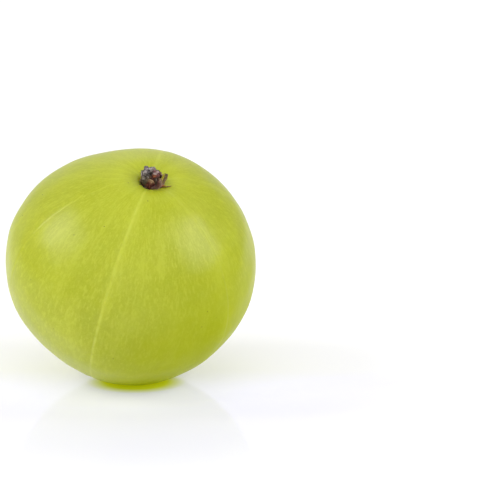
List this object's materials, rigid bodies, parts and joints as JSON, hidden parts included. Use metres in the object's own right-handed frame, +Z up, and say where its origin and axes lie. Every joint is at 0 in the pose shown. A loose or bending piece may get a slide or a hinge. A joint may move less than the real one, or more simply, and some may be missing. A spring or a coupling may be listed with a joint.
{
  "type": "indian gooseberry",
  "caption": "Whole round green fruit lying on a small flat spot, with shallow seams between its lobes and a dried brown calyx in its stalk dimple.",
  "frame": {"origin": "on the flat rest spot, under the middle of the fruit's box as it lies", "axes": "+Z up, as the fruit lies on a table; the stalk end leans about 25 degrees towards -Y and a little towards +X"},
  "size_m": [0.0316, 0.0314, 0.0291],
  "materials": {
    "skin": "satin waxy yellow-green fruit skin, faintly mottled along the meridians, with pale seams and tiny dark specks",
    "calyx": "matt dry brown calyx with grey weathering and red-brown sepals"
  },
  "bodies": {
    "root": {"fruit": "skin", "dried_calyx": "calyx"}
  },
  "joints": []
}
